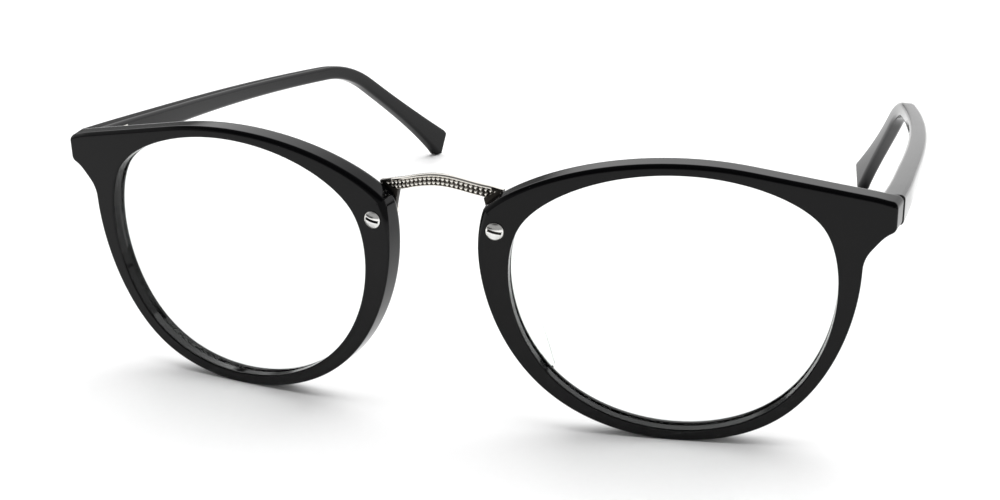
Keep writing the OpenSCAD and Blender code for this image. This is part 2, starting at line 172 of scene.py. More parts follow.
@dataclass(frozen=True)
class FrontSizes:
    """Sizes of the acetate front, the lenses and the screws, in mm, as the part has them."""

    eye_w: float = 49.3
    eye_h: float = 41.4
    eye_x: float = 36.8
    eye_lean: float = -0.27
    eye_taper: float = 0.91
    eye_full: float = 0.47
    thick: float = 4.0
    rim_nasal: float = 4.6
    rim_temporal: float = 3.3
    rim_brow: float = 1.7
    rim_chin: float = 1.8
    rim_lean: float = -0.42
    rim_taper: float = 1.98
    rim_full: float = 0.91
    wrap_deg: float = 7.5
    end_reach: float = 5.0
    end_flare_deg: float = 15.0
    end_h: float = 4.7
    brow_fall: float = 9.7
    corner_r: float = 1.1
    lens_t: float = 1.6
    lens_r: float = 260.0
    lens_set: float = 0.6
    groove_d: float = 0.8
    screw_x: float = 10.0
    screw_z: float = 9.9
    screw_head_d: float = 2.8
    screw_d: float = 1.4
    head_seat: float = 0.12
    head_room: float = 0.1
    hinge_x: float = 64.166
    hinge_y: float = 12.6469
    leaf_t: float = 1.0
    leaf_l: float = 9.0
    barrel_h: float = 3.6
    barrel_r: float = 1.2
    front_leaf_in: float = 2.4
    front_leaf_out: float = 0.8
    leaf_inset: float = 0.3
    gap: float = 0.02

    @property
    def eye(self) -> Oval:
        """The outline of the lens opening."""
        return Oval(self.eye_x, 0.0, (self.eye_w + self.eye_h) / 4 + self.eye_full,
                    (self.eye_w - self.eye_h) / 4, self.eye_lean, self.eye_taper, self.eye_full)

    @property
    def rim(self) -> Oval:
        """The outline of the rim, without its end piece."""
        width = self.eye_w + self.rim_nasal + self.rim_temporal
        height = self.eye_h + self.rim_brow + self.rim_chin
        return Oval(self.eye_x + (self.rim_temporal - self.rim_nasal) / 2 + self.eye_lean - self.rim_lean,
                    (self.rim_brow - self.rim_chin) / 2 + self.rim_taper - self.eye_taper,
                    (width + height) / 4 + self.rim_full, (width - height) / 4,
                    self.rim_lean, self.rim_taper, self.rim_full)

    @property
    def end_side(self) -> float:
        """How far out the end piece's side lies, along the front."""
        return self.rim.x + (self.eye_w + self.rim_nasal + self.rim_temporal) / 2 + self.end_reach

    @property
    def end_top(self) -> float:
        """The height of the end piece's outer upper corner."""
        start = self.rim.point(90 - self.brow_fall)
        return start.y - (self.end_side - start.x) * math.tan(math.radians(self.brow_fall))

    @property
    def end_mid(self) -> float:
        """Height of the middle of the end piece."""
        return self.end_top - self.end_h / 2

    @property
    def hinge_u(self) -> float:
        """Where the hinge's axis lies along the flat rim."""
        turn = math.radians(self.wrap_deg)
        return (self.screw_x + (self.hinge_x - self.screw_x) * math.cos(turn)
                + self.hinge_y * math.sin(turn))

    def wrapped(self, u: float, t: float, z: float) -> tuple[float, float, float]:
        """Turn a point of the flat rim back by the wrap angle about its screw.

        Args:
            u: Distance across the flat rim, mm.
            t: Depth behind its front face, mm.
            z: Height, mm.

        Returns:
            The point in the front frame.
        """
        turn = math.radians(self.wrap_deg)
        return (self.screw_x + (u - self.screw_x) * math.cos(turn) - t * math.sin(turn),
                (u - self.screw_x) * math.sin(turn) + t * math.cos(turn), z)

    def lens_depth(self, u: float, z: float, rear: bool) -> float:
        """How far behind the front plane a lens surface lies.

        Args:
            u: Distance across the flat rim, mm.
            z: Height, mm.
            rear: Whether the surface is the rear one.

        Returns:
            The depth in mm.
        """
        radius = self.lens_r - (self.lens_t if rear else 0.0)
        off = (u - self.eye_x) ** 2 + z ** 2
        return self.lens_set + self.lens_r - math.sqrt(radius ** 2 - off)


@dataclass
class Sculpt:
    """A mesh in the making: rows of points are pulled out of each other and closed."""

    bm: bmesh.types.BMesh = field(default_factory=bmesh.new)

    def ring(self, row: Row) -> Loop:
        """Start a closed loop of edges.

        Args:
            row: The loop's points, in metres.

        Returns:
            The loop's vertices, in the order of row.
        """
        verts = [self.bm.verts.new(p) for p in row]
        for a, b in zip(verts, verts[1:] + verts[:1]):
            self.bm.edges.new((a, b))
        return verts

    def loop_edges(self, loop: Loop) -> list[bmesh.types.BMEdge]:
        """The edges between a closed loop's neighbours."""
        return [self.bm.edges.get((a, b)) for a, b in zip(loop, loop[1:] + loop[:1])]

    def pull(self, loop: Loop, row: Row) -> Loop:
        """Extrude a closed loop and put the new one's vertices at row.

        Args:
            loop: The loop to extrude.
            row: The new loop's points, one for each vertex of loop.

        Returns:
            The new loop's vertices, in the same order.
        """
        out = bmesh.ops.extrude_edge_only(self.bm, edges=self.loop_edges(loop))
        fresh = {g for g in out["geom"] if isinstance(g, bmesh.types.BMVert)}
        new = [next(e.other_vert(v) for e in v.link_edges if e.other_vert(v) in fresh) for v in loop]
        for v, place in zip(new, row):
            v.co = place
        return new

    def cap(self, loop: Loop) -> None:
        """Close a loop with one face."""
        bmesh.ops.contextual_create(self.bm, geom=self.loop_edges(loop))

    def fill_between(self, outer: Loop, inner: Loop) -> None:
        """Close the flat band between two loops."""
        bmesh.ops.triangle_fill(self.bm, use_beauty=True, use_dissolve=False,
                                edges=self.loop_edges(outer) + self.loop_edges(inner))

    def wall(self, rows: Sequence[Row]) -> tuple[Loop, Loop]:
        """Add an open wall that runs through rows of points.

        Args:
            rows: The wall's closed rows, from one end to the other.

        Returns:
            The loops at the wall's two ends.
        """
        first = last = self.ring(rows[0])
        for row in rows[1:]:
            last = self.pull(last, row)
        return first, last

    def tube(self, rows: Sequence[Row]) -> None:
        """Add a closed solid that runs through rows of points."""
        for end in self.wall(rows):
            self.cap(end)

    def hull(self, points: Row) -> None:
        """Add the smallest convex solid around points.

        Args:
            points: The points, in metres.
        """
        verts = [self.bm.verts.new(p) for p in points]
        out = bmesh.ops.convex_hull(self.bm, input=verts)
        loose = {g for key in ("geom_interior", "geom_unused") for g in out[key]
                 if isinstance(g, bmesh.types.BMVert)}
        bmesh.ops.delete(self.bm, geom=list(loose), context="VERTS")

    def soften(self, width: float, angle_deg: float = 30.0, segments: int = 2) -> None:
        """Round every edge that turns by more than angle_deg.

        Args:
            width: How far the rounding reaches from the edge, mm.
            angle_deg: The least turn that counts as an edge.
            segments: How many strips the rounding has.
        """
        edges = [e for e in self.bm.edges
                 if len(e.link_faces) == 2 and e.calc_face_angle(0.0) > math.radians(angle_deg)]
        bmesh.ops.bevel(self.bm, geom=edges, affect="EDGES", offset_type="OFFSET", offset=width * MM,
                        segments=segments, profile=0.5, material=-1, clamp_overlap=True)

    def to_object(self, name: str) -> bpy.types.Object:
        """Turn the sculpt into an object with outward faces and crisp edges.

        Args:
            name: The new object's name.

        Returns:
            The object, linked to the scene.
        """
        bmesh.ops.remove_doubles(self.bm, verts=self.bm.verts, dist=1e-7)
        bmesh.ops.recalc_face_normals(self.bm, faces=self.bm.faces)
        for face in self.bm.faces:
            face.smooth = True
        mesh = bpy.data.meshes.new(name)
        self.bm.to_mesh(mesh)
        self.bm.free()
        mesh.set_sharp_from_angle(angle=SHARP_ANGLE)
        obj = bpy.data.objects.new(name, mesh)
        bpy.context.scene.collection.objects.link(obj)
        return obj


def carve(obj: bpy.types.Object, cutters: Sequence[bpy.types.Object]) -> None:
    """Cut solids out of a piece for good and throw the cutters away.

    Args:
        obj: The piece to cut.
        cutters: Closed solids, which are removed afterwards.
    """
    for cutter in cutters:
        step = obj.modifiers.new("cut", "BOOLEAN")
        step.operation = "DIFFERENCE"
        step.solver = "EXACT"
        step.object = cutter
    graph = bpy.context.evaluated_depsgraph_get()
    cut = bpy.data.meshes.new_from_object(obj.evaluated_get(graph))
    obj.modifiers.clear()
    old, obj.data = obj.data, cut
    bpy.data.meshes.remove(old)
    obj.data.set_sharp_from_angle(angle=SHARP_ANGLE)
    for cutter in cutters:
        bpy.data.objects.remove(cutter)


def linear(code: str) -> tuple[float, float, float, float]:
    """Turn an sRGB hex colour to the linear colour that a shader takes.

    Args:
        code: The colour as "#rrggbb".

    Returns:
        Red, green, blue and alpha.
    """
    parts = [int(code[i:i + 2], 16) / 255 for i in (1, 3, 5)]
    red, green, blue = (c / 12.92 if c <= 0.04045 else ((c + 0.055) / 1.055) ** 2.4 for c in parts)
    return red, green, blue, 1.0


def add_node(tree: bpy.types.NodeTree, kind: str, inputs: dict[str | int, Source] | None = None,
             **settings: object) -> bpy.types.Node:
    """Add a node with its settings, values and links.

    Args:
        tree: The material's node tree.
        kind: The node's type.
        inputs: For each input, a socket to link to it or the value to set on it.
        **settings: Properties of the node itself.

    Returns:
        The new node.
    """
    node = tree.nodes.new(kind)
    for name, value in settings.items():
        setattr(node, name, value)
    for key, value in (inputs or {}).items():
        if isinstance(value, bpy.types.NodeSocket):
            tree.links.new(value, node.inputs[key])
        else:
            node.inputs[key].default_value = value
    return node


def per(size_mm: float) -> float:
    """The noise scale that gives a pattern of a real size."""
    return 1 / (size_mm * MM)


def start_material(name: str) -> tuple[bpy.types.Material, bpy.types.NodeTree, bpy.types.NodeSocket]:
    """Start a material on an empty tree.

    Args:
        name: The material's name.

    Returns:
        The material, its tree, and the Object coordinates to draw patterns on.
    """
    material = bpy.data.materials.new(name)
    material.use_nodes = True
    tree = material.node_tree
    tree.nodes.clear()
    return material, tree, add_node(tree, "ShaderNodeTexCoord").outputs["Object"]


def close_material(tree: bpy.types.NodeTree, shader: bpy.types.Node) -> None:
    """Link a shader to a new output."""
    add_node(tree, "ShaderNodeOutputMaterial", {"Surface": shader.outputs[0]})


@dataclass(frozen=True)
class PolishedAcetate:
    """Cellulose acetate sheet, milled, tumbled and hand polished: deep black with a wet gloss.

    Tumbling leaves a low ripple, which bends the room's reflections a little. Wiping leaves
    hairlines; real ones are about 0.02 mm apart, and these are drawn coarser so that they show.
    """

    name: str = "black_acetate_tumble_polished"
    tone: str = "#070708"
    deep_tone: str = "#040405"
    ior: float = 1.49
    gloss: float = 0.06
    hazy: float = 0.14
    haze_mm: float = 9.0
    cloud_mm: float = 14.0
    ripple_mm: float = 4.0
    ripple_high: float = 0.02
    hairline_mm: float = 0.25
    hairline_high: float = 0.002

    def build(self) -> bpy.types.Material:
        """Make the material: polish ripple, hairline scratches and faint handling haze.

        Returns:
            The material.
        """
        material, tree, place = start_material(self.name)
        haze = add_node(tree, "ShaderNodeTexNoise", {
            "Vector": place, "Scale": per(self.haze_mm), "Detail": 4.0})
        rough = add_node(tree, "ShaderNodeMapRange", {
            "Value": haze.outputs["Fac"], "From Min": 0.42, "From Max": 0.72,
            "To Min": self.gloss, "To Max": self.hazy})
        ripple = add_node(tree, "ShaderNodeTexNoise", {
            "Vector": place, "Scale": per(self.ripple_mm), "Detail": 1.0})
        soft = add_node(tree, "ShaderNodeBump", {
            "Height": ripple.outputs["Fac"], "Strength": 0.35, "Distance": self.ripple_high * MM})
        stretch = add_node(tree, "ShaderNodeMapping", {
            "Vector": place, "Rotation": (0.4, 0.3, 0.9), "Scale": (1.0, 0.06, 1.0)})
        hair = add_node(tree, "ShaderNodeTexNoise", {
            "Vector": stretch.outputs[0], "Scale": per(self.hairline_mm), "Detail": 2.0})
        fine = add_node(tree, "ShaderNodeBump", {
            "Height": hair.outputs["Fac"], "Normal": soft.outputs[0], "Strength": 0.12,
            "Distance": self.hairline_high * MM})
        cloud = add_node(tree, "ShaderNodeTexNoise", {
            "Vector": place, "Scale": per(self.cloud_mm), "Detail": 2.0})
        tone = add_node(tree, "ShaderNodeMix", {
            "Factor": cloud.outputs["Fac"], 6: linear(self.deep_tone), 7: linear(self.tone)},
            data_type="RGBA")
        shader = add_node(tree, "ShaderNodeBsdfPrincipled", {
            "Base Color": tone.outputs[2], "Roughness": rough.outputs[0], "IOR": self.ior,
            "Specular IOR Level": 0.19, "Normal": fine.outputs[0]})
        close_material(tree, shader)
        return material


@dataclass(frozen=True)
class ClearLensResin:
    """Cast allyl resin with an anti-reflection film: it lets the table through and glints little."""

    name: str = "clear_lens_resin_coated"
    tone: str = "#fbfdfc"
    ior: float = 1.5
    smudge_mm: float = 7.0

    def build(self) -> bpy.types.Material:
        """Make the material: clear resin with the faintest wiped smudges.

        Returns:
            The material.
        """
        material, tree, place = start_material(self.name)
        smudge = add_node(tree, "ShaderNodeTexNoise", {
            "Vector": place, "Scale": per(self.smudge_mm), "Detail": 3.0})
        rough = add_node(tree, "ShaderNodeMapRange", {
            "Value": smudge.outputs["Fac"], "From Min": 0.5, "From Max": 0.8, "To Min": 0.0, "To Max": 0.02})
        shader = add_node(tree, "ShaderNodeBsdfPrincipled", {
            "Base Color": linear(self.tone), "Roughness": rough.outputs[0], "IOR": self.ior,
            "Specular IOR Level": 0.25, "Transmission Weight": 1.0})
        close_material(tree, shader)
        return material


@dataclass(frozen=True)
class ClearPadPlastic:
    """Injection moulded clear pad: glassy, its glints slightly softened by the moulded skin."""

    name: str = "clear_pad_plastic_moulded"
    tone: str = "#f7f9f7"
    ior: float = 1.47
    skin_mm: float = 0.6
    skin_high: float = 0.01

    def build(self) -> bpy.types.Material:
        """Make the material: clear plastic with a soft moulded skin.

        Returns:
            The material.
        """
        material, tree, place = start_material(self.name)
        skin = add_node(tree, "ShaderNodeTexNoise", {
            "Vector": place, "Scale": per(self.skin_mm), "Detail": 2.0})
        bump = add_node(tree, "ShaderNodeBump", {
            "Height": skin.outputs["Fac"], "Strength": 0.2, "Distance": self.skin_high * MM})
        rough = add_node(tree, "ShaderNodeMapRange", {
            "Value": skin.outputs["Fac"], "To Min": 0.0, "To Max": 0.04})
        shader = add_node(tree, "ShaderNodeBsdfPrincipled", {
            "Base Color": linear(self.tone), "Roughness": rough.outputs[0], "IOR": self.ior,
            "Specular IOR Level": 0.5, "Transmission Weight": 1.0, "Normal": bump.outputs[0]})
        close_material(tree, shader)
        return material


@dataclass(frozen=True)
class DrawnMetal:
    """A worked metal: reflections that fine wipe lines break up.

    Real wipe lines are about 0.02 mm apart; line_mm draws them coarser so that they show.
    """

    name: str
    tone: str
    dark_tone: str
    gloss: float
    dull: float
    line_mm: float
    line_stretch: tuple[float, float, float]
    line_high: float = 0.004
    wear_mm: float = 1.8

    def build(self) -> bpy.types.Material:
        """Make the material: wipe lines in the bump, uneven polish in colour and roughness.

        Returns:
            The material.
        """
        material, tree, place = start_material(self.name)
        stretch = add_node(tree, "ShaderNodeMapping", {"Vector": place, "Scale": self.line_stretch})
        lines = add_node(tree, "ShaderNodeTexNoise", {
            "Vector": stretch.outputs[0], "Scale": per(self.line_mm), "Detail": 3.0})
        bump = add_node(tree, "ShaderNodeBump", {
            "Height": lines.outputs["Fac"], "Strength": 0.25, "Distance": self.line_high * MM})
        wear = add_node(tree, "ShaderNodeTexNoise", {
            "Vector": place, "Scale": per(self.wear_mm), "Detail": 4.0})
        rough = add_node(tree, "ShaderNodeMapRange", {
            "Value": wear.outputs["Fac"], "From Min": 0.35, "From Max": 0.75,
            "To Min": self.gloss, "To Max": self.dull})
        tone = add_node(tree, "ShaderNodeMix", {
            "Factor": wear.outputs["Fac"], 6: linear(self.tone), 7: linear(self.dark_tone)},
            data_type="RGBA")
        shader = add_node(tree, "ShaderNodeBsdfPrincipled", {
            "Base Color": tone.outputs[2], "Metallic": 1.0, "Roughness": rough.outputs[0],
            "Normal": bump.outputs[0]})
        close_material(tree, shader)
        return material


@dataclass(frozen=True)
class MattLaminate:
    """A pale laminate table: an even, matt, near-white face with the lightest grain."""

    name: str = "pale_table_laminate"
    tone: str = "#f4f4f4"
    grain_tone: str = "#f2f2f2"
    grain_mm: float = 1.2

    def build(self) -> bpy.types.Material:
        """Make the material: a matt face with a grain too faint to read as a pattern.

        Returns:
            The material.
        """
        material, tree, place = start_material(self.name)
        grain = add_node(tree, "ShaderNodeTexNoise", {
            "Vector": place, "Scale": per(self.grain_mm), "Detail": 2.0})
        tone = add_node(tree, "ShaderNodeMix", {
            "Factor": grain.outputs["Fac"], 6: linear(self.grain_tone), 7: linear(self.tone)},
            data_type="RGBA")
        shader = add_node(tree, "ShaderNodeBsdfPrincipled", {
            "Base Color": tone.outputs[2], "Roughness": 0.75, "Specular IOR Level": 0.1})
        close_material(tree, shader)
        return material


@dataclass
class Finishes:
    """Every finish of the glasses, each made once."""

    acetate: bpy.types.Material = field(default_factory=lambda: PolishedAcetate().build())
    lens: bpy.types.Material = field(default_factory=lambda: ClearLensResin().build())
    pad: bpy.types.Material = field(default_factory=lambda: ClearPadPlastic().build())
    # Polished nickel silver: a warm white with bright, sharp glints
    nickel: bpy.types.Material = field(default_factory=lambda: DrawnMetal(
        "nickel_silver_polished", "#f1eee8", "#dbd6cd", 0.08, 0.18, 0.12, (0.15, 1.0, 1.0)).build())
    # Painted shade: a dark copy of nickel silver for the floor between the beads, the bar's ends against the
    # rims, the legs' faces turned from the rear and the screw slots
    hollow: bpy.types.Material = field(default_factory=lambda: DrawnMetal(
        "nickel_silver_painted_shade", "#3c3935", "#1f1d1b", 0.3, 0.45, 0.12, (1.0, 1.0, 1.0)).build())
    # Turned stainless steel: a cooler, neutral white than the nickel silver beside it
    steel: bpy.types.Material = field(default_factory=lambda: DrawnMetal(
        "stainless_steel_turned", "#efefed", "#dcdbd8", 0.08, 0.18, 0.09, (1.0, 1.0, 0.2)).build())


def settle(obj: bpy.types.Object, body: str, nodes: Sequence[str],
           finishes: Sequence[bpy.types.Material]) -> bpy.types.Object:
    """Dress a new piece and fasten it to its body in place of its nodes.

    Args:
        obj: The piece, with its place in its mesh.
        body: The body that it rides on.
        nodes: The nodes that it stands for.
        finishes: The piece's materials, in the order of its faces' material numbers.

    Returns:
        The piece.
    """
    for finish in finishes:
        obj.data.materials.append(finish)
    if nodes:
        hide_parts(*nodes)
    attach(obj, body)
    LOG.info("%s: %d faces, rides on %s", obj.name, len(obj.data.polygons), body)
    return obj


@dataclass
class SidePart:
    """What a piece that comes once for each side is built from."""

    side: Side
    sizes: FrontSizes
    stand: Stand

    def seated(self, u: float, t: float, z: float) -> Vector:
        """Carry a point of this side's flat rim to the resting object."""
        x, y, up = self.sizes.wrapped(u, t, z)
        return self.stand.seat(self.side.value * x, y, up)


def rectangle(low: float, high: float, half: float) -> list[tuple[float, float]]:
    """The corners of a rectangle from low to high across, and half up and half down."""
    return [(low, -half), (high, -half), (high, half), (low, half)]


@dataclass
class Rim(SidePart):
    """One acetate rim with its end piece: chamfered brow, bevelled opening and lens groove."""

    brow_chamfer: float = 0.55
    nose_chamfer: float = 0.85
    edge_chamfer: float = 0.16
    chamfered_deg: tuple[float, float] = (60.0, 200.0)
    widening_deg: tuple[float, float] = (110.0, 146.0)
    fade_below: float = 3.5
    fade_above: float = 3.0
    rear_round: float = 0.45
    eye_bevel: float = 0.16
    eye_land: float = 0.2
    eye_rear_round: float = 0.3
    crisp: float = 0.05
    hold: float = 0.3
    nose_deg: float = 146.0
    nose_tight_r: float = 6.0
    nose_pull: float = 0.42
    nook_deg: float = 359.0
    nook_pull: float = 3.4
    nook_low_deg: float = -60.0
    nook_low_pull: float = 2.4
    flare_start: float = 4.5
    flare_full: float = 0.6
    steps_per_turn: int = 240

    def arc(self, start_deg: float, end_deg: float) -> list[Station]:
        """Stations along the rim's own outline, both ends included.

        Args:
            start_deg: The outward direction at the first station.
            end_deg: The outward direction at the last one.

        Returns:
            The stations, each with its chamfer.
        """
        count = round(abs(end_deg - start_deg) / (360 / self.steps_per_turn))
        rows = []
        for i in range(count + 1):
            deg = start_deg + (end_deg - start_deg) * i / count
            point = self.sizes.rim.point(deg)
            rows.append((point, outward(deg), self.chamfer(point, deg)))
        return rows

    def blend(self, ends: tuple[Vector, Vector], pulls: tuple[Vector, Vector], count: int,
              chamfer: Callable[[Vector], float]) -> list[Station]:
        """Stations between the ends of a smooth curve, both ends left out.

        Args:
            ends: Where the curve starts and ends.
            pulls: From each end, where the curve's handle lies.
            count: How many steps the curve has.
            chamfer: The chamfer's width at a point.

        Returns:
            The stations, each with its chamfer.
        """
        (p0, p1), (d0, d1) = ends, pulls
        rows = []
        for i in range(1, count):
            q, r = i / count, 1 - i / count
            point = r ** 3 * p0 + 3 * r * r * q * (p0 + d0) + 3 * r * q * q * (p1 + d1) + q ** 3 * p1
            rate = (r * r * d0 + 2 * r * q * (p1 + d1 - p0 - d0) - q * q * d1).normalized()
            rows.append((point, Vector((rate.y, -rate.x)), chamfer(point)))
        return rows

    def outline(self) -> list[Station]:
        """The rim's outer edge: over the brow, round the opening, and out to the end piece.

        Returns:
            A list, counter-clockwise from the brow, of (point, outward direction, chamfer in mm).
        """
        s, rim = self.sizes, self.sizes.rim
        normal, fall = 90 - s.brow_fall, math.radians(s.brow_fall)
        # Beside the nose a blend takes over wherever the rim's own outline would curve too tightly
        tight = [a for a in range(100, 181)
                 if abs(a - self.nose_deg) < 3 or rim.bend_radius(a) < self.nose_tight_r]
        nose_from, nose_to = tight[0], tight[-1]
        start, end = rim.point(nose_from), rim.point(nose_to)
        pull = self.nose_pull * (end - start).length
        rows = self.arc(normal, nose_from)
        rows += self.blend((start, end), (pull * along(nose_from), -pull * along(nose_to)), 18,
                           lambda p: self.chamfer(p, self.nose_deg))
        rows += self.arc(nose_to, self.nook_deg)
        low = Vector((s.end_side - s.corner_r, s.end_top - s.end_h + s.corner_r))
        top = Vector((s.end_side - s.corner_r,
                      s.end_top + s.corner_r * math.tan(fall) - s.corner_r / math.cos(fall)))
        rows += self.blend((rim.point(self.nook_deg), low + s.corner_r * outward(self.nook_low_deg)),
                           (self.nook_pull * along(self.nook_deg),
                            -self.nook_low_pull * along(self.nook_low_deg)), 24,
                           lambda p: self.edge_chamfer)
        for centre, a0, a1, count in ((low, self.nook_low_deg, 0.0, 8), (top, 0.0, normal, 12)):
            for i in range(count + 1):
                a = a0 + (a1 - a0) * i / count
                width = self.edge_chamfer + (self.brow_chamfer - self.edge_chamfer) * eased(a, 10, 60)
                rows.append((centre + s.corner_r * outward(a), outward(a), width))
        first, last = rows[0][0], rows[-1][0]
        return rows + [(last.lerp(first, i / 20), outward(normal), self.brow_chamfer)
                       for i in range(1, 20)]

    def chamfer(self, point: Vector, deg: float) -> float:
        """How wide the front chamfer is at a point of the rim's outer edge.

        Args:
            point: The point on the flat rim.
            deg: The outward direction there.

        Returns:
            The chamfer's width in mm: widest at the upper corner beside the nose, gone below the screw.
        """
        start, end = self.chamfered_deg
        if not start <= deg <= end:
            return self.edge_chamfer
        wide = self.brow_chamfer + (self.nose_chamfer - self.brow_chamfer) * eased(deg, *self.widening_deg)
        screw_z = self.sizes.screw_z
        fade = eased(point.y, screw_z - self.fade_below, screw_z + self.fade_above)
        return self.edge_chamfer + (wide - self.edge_chamfer) * fade

    def edge_profile(self, chamfer: float) -> list[tuple[float, float]]:
        """The outer edge's section, from the front face over the chamfer to the rounded rear.

        Args:
            chamfer: The front chamfer's width, mm.

        Returns:
            Its points as (inset from the outline, depth behind the front face).
        """
        crisp, hold, back, thick = self.crisp, self.hold, self.rear_round, self.sizes.thick
        turns = [math.radians(30 * k) for k in range(4)]
        rear = [(back * (1 - math.cos(a)), thick - back * (1 - math.sin(a))) for a in turns]
        return [(chamfer + hold, 0.0), (chamfer + crisp, 0.0), (chamfer - crisp / 2, crisp / 2),
                (crisp / 2, chamfer - crisp / 2), (0.0, chamfer + crisp), (0.0, chamfer + hold),
                (0.0, thick - back - hold), *rear, (back + hold, thick)]

    def flared(self, at: Vector, depth: float) -> Vector:
        """Seat a point of the outer edge, drawn in where the end piece's side slants.

        Args:
            at: The point on the flat rim.
            depth: Its depth behind the front face, mm.

        Returns:
            The point on the resting object.
        """
        s = self.sizes
        slant = (s.thick - depth) * math.tan(math.radians(s.end_flare_deg))
        shift = slant * eased(at.x, s.end_side - self.flare_start, s.end_side - self.flare_full)
        return self.seated(at.x - shift, depth, at.y)

    def edge_rows(self) -> list[list[Vector]]:
        """The outer edge's rows, from the front face to the rear face."""
        stations = self.outline()
        sections = [self.edge_profile(width) for _, _, width in stations]
        return [[self.flared(point - normal * inset, depth)
                 for (point, normal, _), (inset, depth) in zip(stations, level)]
                for level in zip(*sections)]

    def groove_front(self, at: Vector) -> float:
        """Depth of the lens groove's front wall at a place on the flat rim."""
        return self.sizes.lens_depth(at.x, at.y, False) - self.sizes.gap

    def groove_rear(self, at: Vector) -> float:
        """Depth of the lens groove's rear wall at a place on the flat rim."""
        return self.sizes.lens_depth(at.x, at.y, True) + self.sizes.gap

    def eye_row(self, grow: float, depth: Depth, count: int) -> list[Vector]:
        """One row round the lens opening.

        Args:
            grow: How far outside the opening's outline the row lies, mm.
            depth: The row's depth behind the front face, mm, or what gives it at a place.
            count: How many points the row has.

        Returns:
            The row's points.
        """
        row = []
        for i in range(count):
            at = self.sizes.eye.point(90 - self.sizes.brow_fall + 360 * i / count, grow)
            row.append(self.seated(at.x, depth(at) if callable(depth) else depth, at.y))
        return row

    def eye_rows(self, count: int) -> list[list[Vector]]:
        """The lens opening's rows, from the front face through the lens groove to the rear face.

        Args:
            count: How many points each row has.

        Returns:
            The rows.
        """
        bevel, crisp, hold, thick = self.eye_bevel, self.crisp, self.hold, self.sizes.thick
        groove = self.sizes.groove_d + self.sizes.gap
        back = self.eye_rear_round
        half_way = back * (1 - math.cos(math.radians(45)))
        profile: list[tuple[float, Depth]] = [
            (bevel + hold, 0.0), (bevel + crisp, 0.0), (bevel - crisp / 2, crisp / 2),
            (crisp / 2, bevel - crisp / 2), (0.0, bevel + crisp), (0.0, bevel + self.eye_land),
            (0.0, self.groove_front), (groove, self.groove_front),
            (groove, self.groove_rear), (0.0, self.groove_rear),
            (0.0, thick - back), (half_way, thick - half_way), (back, thick), (back + hold, thick)]
        return [self.eye_row(grow, depth, count) for grow, depth in profile]

    def build(self) -> bpy.types.Object:
        """Build the rim.

        Returns:
            The rim's object, with the screw hole and the hinge leaf's pocket cut.
        """
        sculpt = Sculpt()
        outer = self.edge_rows()
        outer_front, outer_rear = sculpt.wall(outer)
        inner_front, inner_rear = sculpt.wall(self.eye_rows(len(outer[0])))
        sculpt.fill_between(outer_front, inner_front)
        sculpt.fill_between(outer_rear, inner_rear)
        obj = sculpt.to_object(f"rim_{self.side.tag}_acetate")
        carve(obj, self.cutters())
        return obj

    def cutters(self) -> list[bpy.types.Object]:
        """Cutters for the screw's hole, the shallow ring round its head and the hinge leaf's pocket.

        Returns:
            The cutters, each a closed solid.
        """
        s, cutters = self.sizes, []
        for radius, deep in ((s.screw_d / 2 + s.gap, s.thick + 1),
                             (s.screw_head_d / 2 + s.head_room, s.head_seat)):
            circle = [Vector((s.screw_x, s.screw_z)) + radius * outward(7.5 * i) for i in range(48)]
            sculpt = Sculpt()
            sculpt.tube([[self.seated(p.x, depth, p.y) for p in circle] for depth in (-1.0, deep)])
            cutters.append(sculpt.to_object("round_cutter"))
        corners = rectangle(s.hinge_u - s.barrel_r - s.front_leaf_in - s.gap,
                            s.hinge_u + s.barrel_r + s.front_leaf_out + s.gap, s.barrel_h / 2 + s.gap)
        sculpt = Sculpt()
        sculpt.tube([[self.seated(u, depth, s.end_mid + z) for u, z in corners]
                     for depth in (s.thick - s.leaf_t - s.gap, s.thick + 1)])
        cutters.append(sculpt.to_object("leaf_cutter"))
        return cutters


@dataclass
class Lens(SidePart):
    """One clear lens: two domed faces and a thin edge that sits in the rim's groove."""

    steps: int = 128
    shares: tuple[float, ...] = (0.06, 0.2, 0.4, 0.6, 0.8, 0.93, 0.99, 1.0)

    def row(self, share: float, rear: bool) -> list[Vector]:
        """One ring on a face of the lens.

        Args:
            share: How far out from the middle the ring lies, from 0 to 1.
            rear: Whether the face is the rear one.

        Returns:
            The ring's points.
        """
        s = self.sizes
        row = []
        for i in range(self.steps):
            edge = s.eye.point(360 * i / self.steps, s.groove_d - s.gap)
            at = Vector((s.eye_x, 0.0)).lerp(edge, share)
            row.append(self.seated(at.x, s.lens_depth(at.x, at.y, rear), at.y))
        return row

    def build(self) -> bpy.types.Object:
        """Build the lens as rings that go out over its front and back in over its rear.

        Returns:
            The lens's object.
        """
        sculpt = Sculpt()
        sculpt.tube([self.row(share, False) for share in self.shares]
                    + [self.row(share, True) for share in reversed(self.shares)])
        return sculpt.to_object(f"lens_{self.side.tag}_resin")


